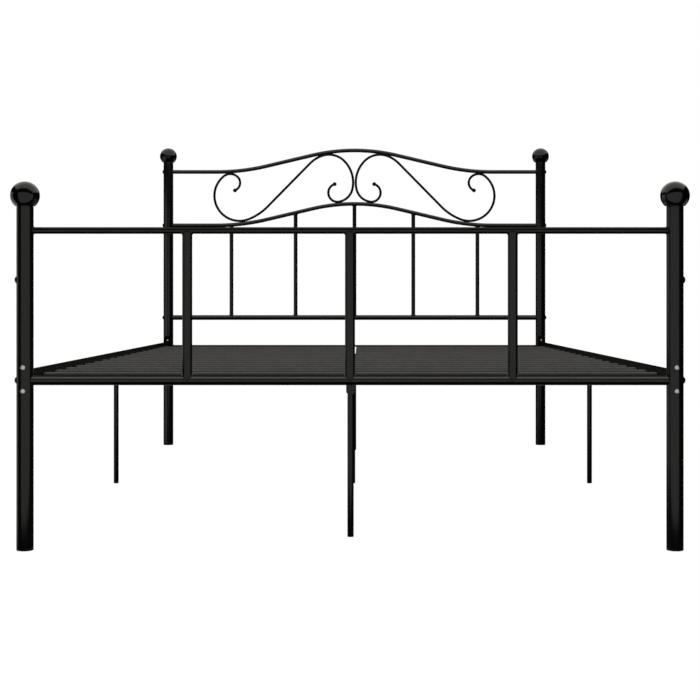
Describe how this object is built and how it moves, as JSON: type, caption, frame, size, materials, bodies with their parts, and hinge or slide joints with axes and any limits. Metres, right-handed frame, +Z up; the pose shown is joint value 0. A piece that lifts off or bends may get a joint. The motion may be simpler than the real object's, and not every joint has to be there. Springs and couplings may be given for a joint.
{
  "type": "metal bed frame",
  "caption": "Black tubular steel bed frame with a crowned headboard with scrolls, a lower footboard, ball finials on round posts, a slatted deck and centre legs.",
  "frame": {"origin": "on the floor, under the middle of the bed", "axes": "+Z up, +Y from the footboard to the headboard along the bed, +X to the right seen from the foot"},
  "size_m": [1.2854, 2.0952, 0.9798],
  "materials": {
    "powder_coat": "satin black powder coat on steel tube",
    "slats": "matt black powder coat on steel slats",
    "finial": "gloss black moulded plastic",
    "cap": "satin black moulded plastic",
    "zinc": "zinc plated",
    "black_bolt": "black coated bolt head"
  },
  "bodies": {
    "root": {"foot_post_left": "powder_coat", "foot_post_right": "powder_coat", "head_post_left": "powder_coat", "head_post_right": "powder_coat", "foot_finial_left": "finial", "foot_finial_right": "finial", "head_finial_left": "finial", "head_finial_right": "finial", "foot_post_cap_left": "cap", "foot_post_cap_right": "cap", "head_post_cap_left": "cap", "head_post_cap_right": "cap", "headboard_top_rail": "powder_coat", "headboard_middle_rail": "powder_coat", "headboard_lower_rail": "powder_coat", "head_cross_rail": "powder_coat", "headboard_spindle_1": "powder_coat", "headboard_spindle_2": "powder_coat", "headboard_spindle_3": "powder_coat", "headboard_spindle_4": "powder_coat", "headboard_spindle_5": "powder_coat", "scroll_left": "powder_coat", "scroll_right": "powder_coat", "footboard_top_rail": "powder_coat", "footboard_lower_rail": "powder_coat", "footboard_bar_left": "powder_coat", "footboard_bar_centre": "powder_coat", "footboard_bar_right": "powder_coat", "side_rail_foot_left": "powder_coat", "side_rail_foot_right": "powder_coat", "side_rail_head_left": "powder_coat", "side_rail_head_right": "powder_coat", "slat_panel_foot_left": "slats", "slat_panel_foot_right": "slats", "slat_panel_head_left": "slats", "slat_panel_head_right": "slats", "centre_leg_foot": "powder_coat", "centre_leg_middle": "powder_coat", "centre_leg_head": "powder_coat", "middle_leg_left": "powder_coat", "middle_leg_right": "powder_coat", "rail_bolt_foot_left_lower": "zinc", "rail_bolt_foot_left_upper": "zinc", "rail_bolt_foot_right_lower": "zinc", "rail_bolt_foot_right_upper": "zinc", "rail_bolt_head_left_lower": "zinc", "rail_bolt_head_left_upper": "zinc", "rail_bolt_head_right_lower": "zinc", "rail_bolt_head_right_upper": "zinc", "dome_bolt_foot_left_lower": "black_bolt", "dome_bolt_foot_left_upper": "black_bolt", "dome_bolt_foot_right_lower": "black_bolt", "dome_bolt_foot_right_upper": "black_bolt", "dome_bolt_head_left_lower": "black_bolt", "dome_bolt_head_left_middle": "black_bolt", "dome_bolt_head_left_top": "black_bolt", "dome_bolt_head_right_lower": "black_bolt", "dome_bolt_head_right_middle": "black_bolt", "dome_bolt_head_right_top": "black_bolt"}
  },
  "joints": []
}
